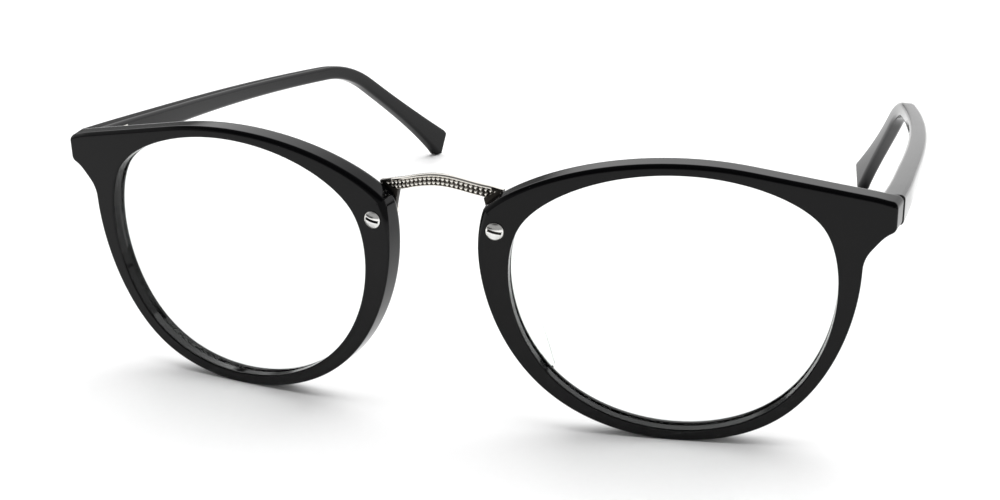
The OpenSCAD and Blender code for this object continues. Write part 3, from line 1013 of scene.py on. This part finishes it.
@dataclass
class Bridge:
    """The arched metal bridge: a bar with a smooth lip over two rows of beads, and two legs."""

    sizes: FrontSizes
    stand: Stand
    bar_h: float = 1.9
    bar_t: float = 1.1
    lip_h: float = 0.37
    foot_h: float = 0.2
    crest_z: float = 17.2
    rise: float = 2.1
    arch_deg: float = 150.0
    bow: float = 1.2
    leg_w: float = 3.0
    leg_cut: float = 0.5
    leg_edge: float = 0.12
    bar_end_x: float = 10.1
    bar_free_x: float = 7.9
    buried_x: float = 8.3
    stations: int = 88
    bead_pitch: float = 0.74
    bead_r: float = 0.32
    bead_sink: float = 0.02
    recess: float = 0.2

    def top(self, x: float) -> float:
        """Height of the bar's upper edge at x."""
        turn = math.radians(self.arch_deg)
        fall = (1 - math.cos(turn * x / self.bar_end_x)) / (1 - math.cos(turn))
        return self.crest_z - self.rise * fall

    def front(self, x: float) -> float:
        """Depth of the bar's front face at x."""
        share = min(1.0, abs(x) / self.bar_free_x)
        return self.sizes.thick + self.sizes.gap - self.bow * (1 - share ** 3)

    def place(self, x: float, depth: float, drop: float) -> Vector:
        """Seat a point that is so far behind the bar's front face and below its upper edge."""
        return self.stand.seat(x, self.front(x) + depth, self.top(x) - drop)

    def section(self) -> list[tuple[float, float]]:
        """The bar's section as (depth behind its front, drop below its top), in mm."""
        r, h, t, lip, foot = self.recess, self.bar_h, self.bar_t, self.lip_h, self.bar_h - self.foot_h
        return [(0.34, 0.0), (0.14, 0.03), (0.03, 0.1), (0.0, 0.2), (0.0, 0.3), (0.04, 0.35), (r, lip),
                (r, foot), (0.07, h - 0.18), (0.03, h - 0.14), (0.05, h - 0.06), (0.16, h),
                (t - 0.2, h), (t - 0.06, h - 0.06), (t, h - 0.2), (t, 0.2), (t - 0.06, 0.06), (t - 0.2, 0.0)]

    def is_hollow(self, point: Vector) -> bool:
        """Whether a face gets the painted shade that stands in for shadow in the bar's recess and against
        the rims.

        Args:
            point: The face's middle, in metres.

        Returns:
            True on the floor under the beads, and where the bar's front is against the rims.
        """
        x, y, z = self.stand.unseat(point)
        depth, drop = y - self.front(x), self.top(x) - z
        on_floor = abs(depth - self.recess) < 0.03
        under_beads = self.lip_h - 0.01 < drop < self.bar_h - self.foot_h + 0.01
        return (on_floor and under_beads) or (abs(x) > self.buried_x and depth < self.bar_t / 2)

    def bar(self) -> bpy.types.Object:
        """Build the bar with its beads.

        Returns:
            The bar's object, whose recess floor carries the second material.
        """
        sculpt = Sculpt()
        places = [self.bar_end_x * (2 * i / self.stations - 1) for i in range(self.stations + 1)]
        sculpt.tube([[self.place(x, *corner) for corner in self.section()] for x in places])
        # The recess floor and the bar's ends against the rims get the painted shade
        for face in sculpt.bm.faces:
            face.material_index = int(self.is_hollow(face.calc_center_median()))
        count = int((self.bar_end_x - 0.2) / self.bead_pitch)
        drops = (self.lip_h + self.bead_r, self.bar_h - self.foot_h - self.bead_r)
        size = Vector((self.bead_r, self.recess + self.bead_sink, self.bead_r)) * MM
        for k in range(-count, count + 1):
            x = k * self.bead_pitch
            slope = math.atan2(self.top(x + 0.1) - self.top(x - 0.1), 0.2)
            for drop in drops:
                matrix = (Matrix.Translation(self.place(x, self.recess, drop))
                          @ Matrix.Rotation(-slope, 4, "Y") @ Matrix.Diagonal((*size, 1.0)))
                bmesh.ops.create_uvsphere(sculpt.bm, u_segments=12, v_segments=8, radius=1.0,
                                          matrix=matrix)
        LOG.info("bridge bar: %d beads", len(drops) * (2 * count + 1))
        return sculpt.to_object("bridge_beaded_bar")

    def leg(self, side: Side) -> bpy.types.Object:
        """Build one leg: a plate from the bar's end down to a round pad behind the screw.

        Args:
            side: The leg's side.

        Returns:
            The leg's object, whose faces carry the second material, a painted shade, where they aren't seen
            from behind.
        """
        s, part = self.sizes, SidePart(side, self.sizes, self.stand)
        bar_top = self.top(self.bar_end_x)
        flat = [Vector((s.screw_x, s.screw_z)) + self.leg_w / 2 * outward(10 * i) for i in range(36)]
        flat += [Vector((self.bar_end_x, bar_top)),
                 Vector((self.bar_end_x - self.leg_w + self.leg_cut, bar_top - self.bar_h + self.leg_cut))]
        near = s.thick + s.gap
        sculpt = Sculpt()
        sculpt.hull([part.seated(p.x, depth, p.y) for p in flat for depth in (near, near + self.bar_t)])
        sculpt.soften(self.leg_edge, 40)
        rear = self.stand.aim(-side.value * math.sin(math.radians(s.wrap_deg)), 1.0, 0.0)
        bmesh.ops.recalc_face_normals(sculpt.bm, faces=sculpt.bm.faces)
        # Faces that don't face the rear get the painted shade
        for face in sculpt.bm.faces:
            face.material_index = 0 if face.normal.dot(rear) > 0.5 else 1
        return sculpt.to_object(f"bridge_leg_{side.tag}")


@dataclass
class BridgeScrew(SidePart):
    """A slotted screw with a low domed head on the front face."""

    head_h: float = 0.5
    head_edge: float = 0.06
    slot_w: float = 0.43
    slot_deep: float = 0.3
    slot_turn: float = 13.0
    shank_end: float = 6.12
    steps: int = 64

    def at(self, r: float, depth: float) -> Vector:
        """Seat a point that is r from the screw's axis and depth behind the rim's front face."""
        return self.seated(self.sizes.screw_x + r, depth, self.sizes.screw_z)

    def profile(self) -> list[tuple[float, float]]:
        """The screw's profile as (distance from its axis, depth), from the head to the shank's end."""
        s, edge = self.sizes, self.head_edge
        radius, seat = s.screw_head_d / 2, s.head_seat - s.gap
        dome = (radius ** 2 + self.head_h ** 2) / (2 * self.head_h)
        reaches = [(radius - edge) * i / 8 for i in range(9)]
        return [*((r, dome - self.head_h - math.sqrt(dome ** 2 - r ** 2)) for r in reaches),
                (radius - edge / 3, -edge * 5 / 3), (radius, -edge), (radius, seat),
                (s.screw_d / 2, seat), (s.screw_d / 2, self.shank_end), (0.0, self.shank_end)]

    def build(self) -> bpy.types.Object:
        """Build the screw by spinning its profile, then cut its slot.

        Returns:
            The screw's object, whose slot carries the second material, a painted shade.
        """
        sculpt = Sculpt()
        verts = [sculpt.bm.verts.new(self.at(r, depth)) for r, depth in self.profile()]
        edges = [sculpt.bm.edges.new(pair) for pair in zip(verts, verts[1:])]
        centre = self.at(0.0, 0.0)
        axis = (self.at(0.0, 1.0) - centre).normalized()
        bmesh.ops.spin(sculpt.bm, geom=verts + edges, cent=centre, axis=axis, angle=2 * math.pi,
                       steps=self.steps, use_merge=True, dvec=(0, 0, 0), space=Matrix.Identity(4))
        obj = sculpt.to_object(f"bridge_screw_{self.side.tag}_slotted")
        place = self.slot_place(centre, axis)
        sculpt = Sculpt()
        bmesh.ops.create_cube(sculpt.bm, size=1.0, matrix=place)
        carve(obj, [sculpt.to_object("slot_cutter")])
        # The slot's faces get the painted shade
        inside = place.inverted()
        for face in obj.data.polygons:
            if max(abs(c) for c in inside @ face.center) < 0.5 + 1e-3:
                face.material_index = 1
        return obj

    def slot_place(self, centre: Vector, axis: Vector) -> Matrix:
        """Find what turns a unit cube into the solid that is cut out of the head.

        Args:
            centre: Where the screw's axis meets the rim's front face.
            axis: The axis's direction, towards the rear.

        Returns:
            The solid's place, turn and size.
        """
        across = Vector((1.0, 0.0, 0.0))
        across = (across - axis * across.dot(axis)).normalized()
        across = Matrix.Rotation(math.radians(self.slot_turn), 3, axis) @ across
        turn = Matrix((across, axis, axis.cross(across))).transposed().to_4x4()
        size = Vector((self.sizes.screw_head_d + 1, 2 * self.slot_deep, self.slot_w)) * MM
        return Matrix.Translation(centre - axis * self.head_h * MM) @ turn @ Matrix.Diagonal((*size, 1.0))


@dataclass
class NosePad(SidePart):
    """A clear pad on the rear of the rim, following its nose side and flaring away from the nose."""

    depth: float = 5.5
    splay_deg: float = 28.0
    thick: float = 1.6
    base_share: float = 0.6
    top_deg: float = 178.0
    low_deg: float = 226.0
    end_share: float = 0.35
    ribs: int = 32
    # How far past the last rib each section of a rounded end lies, and how much of its size it has
    end_sections: tuple[tuple[float, float], ...] = ((0.005, 0.95), (0.012, 0.8), (0.016, 0.55))

    def rib(self, share: float, scale: float) -> list[Vector]:
        """One section of the pad, square to the rim's edge.

        Args:
            share: How far down the pad the section lies, from 0 to 1.
            scale: How much of its full size the section has.

        Returns:
            The section's points.
        """
        s = self.sizes
        deg = self.top_deg + (self.low_deg - self.top_deg) * share
        swell = 1 - (1 - self.end_share) * (2 * min(1.0, max(0.0, share)) - 1) ** 2
        radius, root, base = self.thick / 2, -self.thick, s.thick + s.gap
        crest = Vector((-radius - self.depth * swell * math.tan(math.radians(self.splay_deg)),
                        s.thick + self.depth * swell - radius))
        lean = math.degrees(math.atan2(crest.y - s.thick, crest.x - root))
        wide = self.base_share * self.thick
        flat = [Vector((root + wide * k, base)) for k in (-1.0, -0.35, 0.35, 1.0)]
        flat += [crest + radius * outward(lean - 90 + 15 * k) for k in range(13)]
        hub = (flat[0] + flat[3]) / 2
        row = []
        for p in flat:
            near = hub.lerp(p, scale)
            at = s.rim.point(deg, near.x)
            row.append(self.seated(at.x, near.y, at.y))
        return row

    def build(self) -> bpy.types.Object:
        """Build the pad as a run of sections with rounded ends.

        Returns:
            The pad's object.
        """
        steps = [(-past, scale) for past, scale in reversed(self.end_sections)]
        steps += [(i / self.ribs, 1.0) for i in range(self.ribs + 1)]
        steps += [(1 + past, scale) for past, scale in self.end_sections]
        sculpt = Sculpt()
        sculpt.tube([self.rib(share, scale) for share, scale in steps])
        return sculpt.to_object(f"nose_pad_{self.side.tag}_clear")


@dataclass
class Temple(SidePart):
    """One acetate temple, from its flat butt over the ear bend to its slanted tip."""

    run: float = 87.0
    bend_r: float = 30.0
    bend_deg: float = 31.0
    tip_run: float = 32.0
    waist_h: float = 2.9
    tip_h: float = 6.0
    thick_butt: float = 3.5
    thick_tip: float = 2.6
    fall_deg: float = 7.1
    swell: float = 0.35
    swell_l: float = 16.0
    inward: float = 16.8
    straight_l: float = 28.4
    turn_power: float = 2.45
    butt_proud: float = 0.1
    joint_gap: float = 0.15
    edge_r: float = 0.75
    tip_round: float = 2.0
    tip_cut_deg: float = 10.0
    tip_low_cut: float = 0.6
    butt_edge: float = 0.15
    butt_band: float = 0.4
    tip_edge: float = 0.3
    tip_band: float = 0.6
    deepen_power: float = 2.2
    tip_power: float = 4.0
    hinge_set: float = 0.2
    rings: int = 110

    @property
    def butt(self) -> tuple[float, float]:
        """Where the butt's outer edge is: (x, y)."""
        s = self.sizes
        turn = math.radians(s.wrap_deg)
        reach = s.end_side - s.screw_x
        return (s.screw_x + reach * math.cos(turn) - s.thick * math.sin(turn) + self.butt_proud,
                reach * math.sin(turn) + s.thick * math.cos(turn))

    @property
    def bend_len(self) -> float:
        """Length of the guide line round the ear bend."""
        return self.bend_r * math.radians(self.bend_deg)

    @property
    def length(self) -> float:
        """Length of the whole guide line."""
        return self.run + self.bend_len + self.tip_run

    def guide(self, s: float) -> tuple[Vector, float]:
        """Find a place on the guide line, seen from the side.

        Args:
            s: How far along the line the place is, mm.

        Returns:
            The place as (y, z), and how steeply the line falls there, in radians.
        """
        fall = math.radians(self.fall_deg)
        start = Vector((self.butt[1], self.sizes.end_top - self.waist_h / 2))
        ahead = Vector((math.cos(fall), -math.sin(fall)))
        if s < self.run:
            return start + s * ahead, fall
        bend_start = start + self.run * ahead
        centre = bend_start - self.bend_r * Vector((math.sin(fall), math.cos(fall)))
        turned = fall + min(s - self.run, self.bend_len) / self.bend_r
        at = centre + self.bend_r * Vector((math.sin(turned), math.cos(turned)))
        past = max(0.0, s - self.run - self.bend_len)
        return at + past * Vector((math.cos(turned), -math.sin(turned))), turned

    def below(self, s: float) -> float:
        """How far the lower edge lies under the guide line."""
        near = 1 - min(1.0, max(0.0, s / self.run))
        far = min(1.0, max(0.0, (s - self.run) / (self.length - self.run)))
        return (self.waist_h / 2 + (self.sizes.end_h - self.waist_h) * near ** self.deepen_power
                + (self.tip_h - self.waist_h) * far ** self.tip_power)

    def outer_x(self, y: float) -> float:
        """How far out the temple's outer face lies at y."""
        butt_x, butt_y = self.butt
        rise = min(1.0, max(0.0, (y - butt_y) / self.swell_l))
        turn_y = butt_y + self.straight_l
        turned = max(0.0, y - turn_y) / (self.guide(self.length)[0].x - turn_y)
        return butt_x + self.swell * rise * (2 - rise) - self.inward * turned ** self.turn_power

    def thickness(self, y: float) -> float:
        """The temple's thickness at y."""
        share = (y - self.butt[1]) / (self.guide(self.length)[0].x - self.butt[1])
        return self.thick_butt + (self.thick_tip - self.thick_butt) * min(1.0, max(0.0, share))

    def section(self, wide: float, high: float, inset: float) -> list[tuple[float, float]]:
        """Draw a rounded section.

        Args:
            wide: Its full thickness, mm.
            high: Its full height, mm.
            inset: How far it is drawn in all round, mm.

        Returns:
            Its points as (distance in from the outer face, distance down from the top).
        """
        r = self.edge_r - inset
        out = []
        corners = ((inset + r, inset + r, 180, 270), (wide - inset - r, inset + r, 270, 360),
                   (wide - inset - r, high - inset - r, 0, 90), (inset + r, high - inset - r, 90, 180))
        for cx, cy, a0, a1 in corners:
            for i in range(6):
                a = math.radians(a0 + (a1 - a0) * i / 5)
                out.append((cx + r * math.cos(a), cy + r * math.sin(a)))
        return out

    def start_s(self, u: float, up: float, behind: float) -> float:
        """Find where a lengthwise line meets the plane just behind the front.

        Args:
            u: How far in from the outer face the line lies, mm.
            up: How far above the guide line it lies, mm.
            behind: How far behind the butt's plane the plane is, mm.

        Returns:
            The place along the guide line, mm.
        """
        s = self.sizes
        turn, fall = math.radians(s.wrap_deg), math.radians(self.fall_deg)
        y = self.butt[1]
        for _ in range(3):
            x = self.outer_x(y) - u
            y = (s.thick + self.joint_gap + behind + (x - s.screw_x) * math.sin(turn)) / math.cos(turn)
        return (y - self.butt[1] - up * math.sin(fall)) / math.cos(fall)

    def end_s(self, up: float) -> float:
        """Find where the tip ends.

        Args:
            up: The height above the guide line, mm.

        Returns:
            The place along the guide line, mm.
        """
        top, low = self.waist_h / 2, -self.below(self.length)
        reach = self.tip_h * math.tan(math.radians(self.tip_cut_deg))
        if up > top - self.tip_round:
            rise = min(self.tip_round, up - top + self.tip_round)
            return self.length - self.tip_round + math.sqrt(self.tip_round ** 2 - rise ** 2)
        slope = (top - self.tip_round - up) / (top - self.tip_round - low)
        return self.length + reach * slope - max(0.0, low + self.tip_low_cut - up)

    def row(self, share: float, behind: float, ahead: float, inset: float) -> list[Vector]:
        """One ring of the temple.

        Args:
            share: How far along the temple the ring lies, from 0 to 1.
            behind: How far behind the butt's plane the ring's start is taken, mm.
            ahead: How far short of the tip's end the ring's end is taken, mm.
            inset: How far the ring is drawn in from the full section, mm.

        Returns:
            The ring's points.
        """
        nominal = share * self.length
        y_mid = self.guide(nominal)[0].x
        wide, high = self.thickness(y_mid), self.waist_h / 2 + self.below(nominal)
        out = []
        for u, down in self.section(wide, high, inset):
            up = self.waist_h / 2 - down
            s0, s1 = self.start_s(u, up, behind), self.end_s(up) - ahead
            s = s0 + share * (s1 - s0)
            mid, fall = self.guide(s)
            y, z = mid.x + up * math.sin(fall), mid.y + up * math.cos(fall)
            out.append(self.stand.seat(self.side.value * (self.outer_x(y) - u), y, z))
        return out

    def build(self) -> bpy.types.Object:
        """Build the temple as rings from its butt to its tip.

        Returns:
            The temple's object, with the hinge leaf's pocket cut.
        """
        butt, tip = self.butt_edge, self.tip_edge
        butt_rings = ((0.0, butt), (0.3 * butt, 0.3 * butt), (butt, 0.0), (self.butt_band, 0.0))
        tip_rings = ((self.tip_band, 0.0), (tip, 0.0), (0.3 * tip, 0.3 * tip), (0.0, tip))
        rows = [self.row(0.0, behind, 0.0, inset) for behind, inset in butt_rings]
        rows += [self.row(i / self.rings, self.butt_band, self.tip_band, 0.0) for i in range(1, self.rings)]
        rows += [self.row(1.0, self.butt_band, ahead, inset) for ahead, inset in tip_rings]
        sculpt = Sculpt()
        sculpt.tube(rows)
        obj = sculpt.to_object(f"temple_{self.side.tag}_acetate")
        carve(obj, [self.leaf_cutter()])
        return obj

    def leaf_cutter(self) -> bpy.types.Object:
        """Make a cutter for the pocket that the hinge's leaf is let into.

        Returns:
            The cutter, a closed solid.
        """
        s = self.sizes
        half = s.barrel_h / 2 - s.leaf_inset + s.gap
        rows = []
        for past in (self.hinge_set - s.gap, s.leaf_l / 2, s.leaf_l + s.gap):
            y, mid = s.hinge_y + past, s.end_mid - past * math.tan(math.radians(self.fall_deg))
            inner = self.outer_x(y) - self.thickness(y)
            rows.append([self.stand.seat(self.side.value * x, y, mid + z)
                         for x, z in rectangle(inner - 1, inner + s.leaf_t + s.gap, half)])
        sculpt = Sculpt()
        sculpt.tube(rows)
        return sculpt.to_object("leaf_cutter")


@dataclass
class Fittings:
    """One side's hinge, bridge nut and core wire, which keep the part's own solids."""

    side: Side
    finishes: Finishes

    def dress(self) -> None:
        """Give the solids their metal and a fine broken edge."""
        nickel, steel = self.finishes.nickel, self.finishes.steel
        for node, finish in (("front_hinge", nickel), ("temple_hinge", nickel), ("hinge_screw", steel),
                             ("bridge_nut", nickel), ("core_wire", nickel)):
            dress_node(f"{node}_{self.side.tag}", finish)


def dress_node(node: str, finish: bpy.types.Material, edge_mm: float = 0.07,
               edge_deg: float = 40.0) -> None:
    """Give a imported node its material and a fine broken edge.

    Args:
        node: The node's name.
        finish: Its material.
        edge_mm: How wide the broken edge is.
        edge_deg: The least turn that counts as an edge.
    """
    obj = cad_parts[node]
    obj.data.materials.clear()
    obj.data.materials.append(finish)
    weld = obj.modifiers.new("weld", "WELD")
    weld.merge_threshold = 1e-6
    bevel = obj.modifiers.new("broken_edge", "BEVEL")
    bevel.width = edge_mm * MM
    bevel.segments = 2
    bevel.limit_method = "ANGLE"
    bevel.angle_limit = math.radians(edge_deg)
    LOG.info("%s: dressed with %s", node, finish.name)


@dataclass
class Studio:
    """A pale table, a soft room and the camera."""

    stand: Stand
    lens_mm: float = 55.8
    sensor_mm: float = 36.0
    eye_at: tuple[float, float, float] = (81.923, -207.069, 92.274)
    yaw_deg: float = 18.956
    pitch_deg: float = 21.281
    roll_deg: float = -1.4175
    table_half_m: float = 3.0

    def table(self) -> None:
        """Lay the pale table."""
        sculpt = Sculpt()
        bmesh.ops.create_grid(sculpt.bm, x_segments=1, y_segments=1, size=self.table_half_m)
        floor = sculpt.to_object("pale_table")
        floor.data.materials.append(MattLaminate().build())

    def camera(self) -> None:
        """Set the camera at its place, turned by its yaw, pitch and roll in the front frame."""
        yaw, pitch, roll = (math.radians(v) for v in (self.yaw_deg, self.pitch_deg, self.roll_deg))
        ahead = Vector((-math.sin(yaw) * math.cos(pitch), math.cos(yaw) * math.cos(pitch), -math.sin(pitch)))
        level = Vector((math.cos(yaw), math.sin(yaw), 0.0))
        rise = level.cross(ahead)
        right = level * math.cos(roll) + rise * math.sin(roll)
        up = rise * math.cos(roll) - level * math.sin(roll)
        columns = [self.stand.aim(*v) for v in (right, up, -ahead)]
        place = Matrix(columns).transposed().to_4x4()
        place.translation = self.stand.seat(*self.eye_at)
        data = bpy.data.cameras.new("camera")
        data.sensor_width = self.sensor_mm
        data.lens = self.lens_mm
        data.clip_start = 0.01
        camera = bpy.data.objects.new("camera", data)
        camera.matrix_world = place
        bpy.context.scene.collection.objects.link(camera)
        bpy.context.scene.camera = camera

    def softbox(self, name: str, at: tuple[float, float, float], size: tuple[float, float],
                watts: float, aim: tuple[float, float, float] = (0.0, 0.0, 0.02)) -> None:
        """Hang a soft rectangular light.

        Args:
            name: The light's name.
            at: Its place, in metres.
            size: Its width and height, in metres.
            watts: Its power.
            aim: The point it faces, in metres.
        """
        data = bpy.data.lights.new(name, "AREA")
        data.shape = "RECTANGLE"
        data.size, data.size_y = size
        data.energy = watts
        lamp = bpy.data.objects.new(name, data)
        lamp.location = at
        lamp.rotation_euler = (Vector(aim) - Vector(at)).to_track_quat("-Z", "Y").to_euler()
        lamp.visible_glossy = False
        bpy.context.scene.collection.objects.link(lamp)

    def light(self) -> None:
        """Light the table from above with a large softbox, in a room that polished faces reflect.

        The room's numbers are parts of a direction of length 1: X to the right, Y to the rear, and
        Z up, where 0 is the horizon. The room is bright from just above the horizon to about half
        way up, brighter behind the object than in front of it, and darker low down on the left.
        The camera itself sees it evenly white.
        """
        world = bpy.data.worlds.new("soft_room")
        world.use_nodes = True
        tree = world.node_tree
        aim = add_node(tree, "ShaderNodeSeparateXYZ", {
            0: add_node(tree, "ShaderNodeTexCoord").outputs["Generated"]})
        low = add_node(tree, "ShaderNodeMapRange", {
            "Value": aim.outputs["X"], "From Min": -0.45, "From Max": -0.15, "To Min": 0.16, "To Max": 0.95},
            interpolation_type="SMOOTHSTEP")
        above = add_node(tree, "ShaderNodeMapRange", {
            "Value": aim.outputs["Z"], "From Min": 0.14, "From Max": 0.26, "To Min": low.outputs[0],
            "To Max": 1.0}, interpolation_type="SMOOTHSTEP")
        below = add_node(tree, "ShaderNodeMapRange", {
            "Value": aim.outputs["Z"], "From Min": 0.5, "From Max": 0.72, "To Min": 1.0, "To Max": 0.12},
            interpolation_type="SMOOTHSTEP")
        rear = add_node(tree, "ShaderNodeMapRange", {
            "Value": aim.outputs["Y"], "From Min": -0.5, "From Max": 0.5, "To Min": 0.4, "To Max": 1.3},
            interpolation_type="SMOOTHSTEP")
        band = add_node(tree, "ShaderNodeMath", {0: above.outputs[0], 1: below.outputs[0]},
                        operation="MULTIPLY")
        glow = add_node(tree, "ShaderNodeMath", {0: band.outputs[0], 1: rear.outputs[0]},
                        operation="MULTIPLY")
        seen = add_node(tree, "ShaderNodeLightPath").outputs["Is Camera Ray"]
        strength = add_node(tree, "ShaderNodeMath", {0: glow.outputs[0], 1: seen}, operation="MAXIMUM")
        sky = tree.nodes["Background"]
        sky.inputs["Color"].default_value = (1.0, 1.0, 1.0, 1.0)
        tree.links.new(strength.outputs[0], sky.inputs["Strength"])
        bpy.context.scene.world = world
        bpy.context.scene.view_settings.view_transform = "Standard"
        self.softbox("overhead_softbox", (0.0, 0.35, 1.2), (2.0, 2.0), 33.0)


def main() -> None:
    """Build every sub-assembly, dress it and set the studio."""
    logging.basicConfig(level=logging.INFO, format="%(name)s: %(message)s")
    stand, sizes, finishes = Stand(), FrontSizes(), Finishes()
    studio = Studio(stand)
    studio.camera()
    studio.table()
    studio.light()
    for side in Side:
        tag = side.tag
        settle(Rim(side, sizes, stand).build(), "front", [f"rim_{tag}"], [finishes.acetate])
        settle(Lens(side, sizes, stand).build(), "front", [f"lens_{tag}"], [finishes.lens])
        settle(NosePad(side, sizes, stand).build(), "front", [f"nose_pad_{tag}"], [finishes.pad])
        settle(BridgeScrew(side, sizes, stand).build(), "front", [f"bridge_screw_{tag}"],
               [finishes.steel, finishes.hollow])
        settle(Temple(side, sizes, stand).build(), side.temple_body, [f"temple_{tag}"],
               [finishes.acetate])
        Fittings(side, finishes).dress()
    bridge = Bridge(sizes, stand)
    settle(bridge.bar(), "front", ["bridge"], [finishes.nickel, finishes.hollow])
    for side in Side:
        settle(bridge.leg(side), "front", ["bridge"], [finishes.nickel, finishes.hollow])


if __name__ == "__main__":
    main()
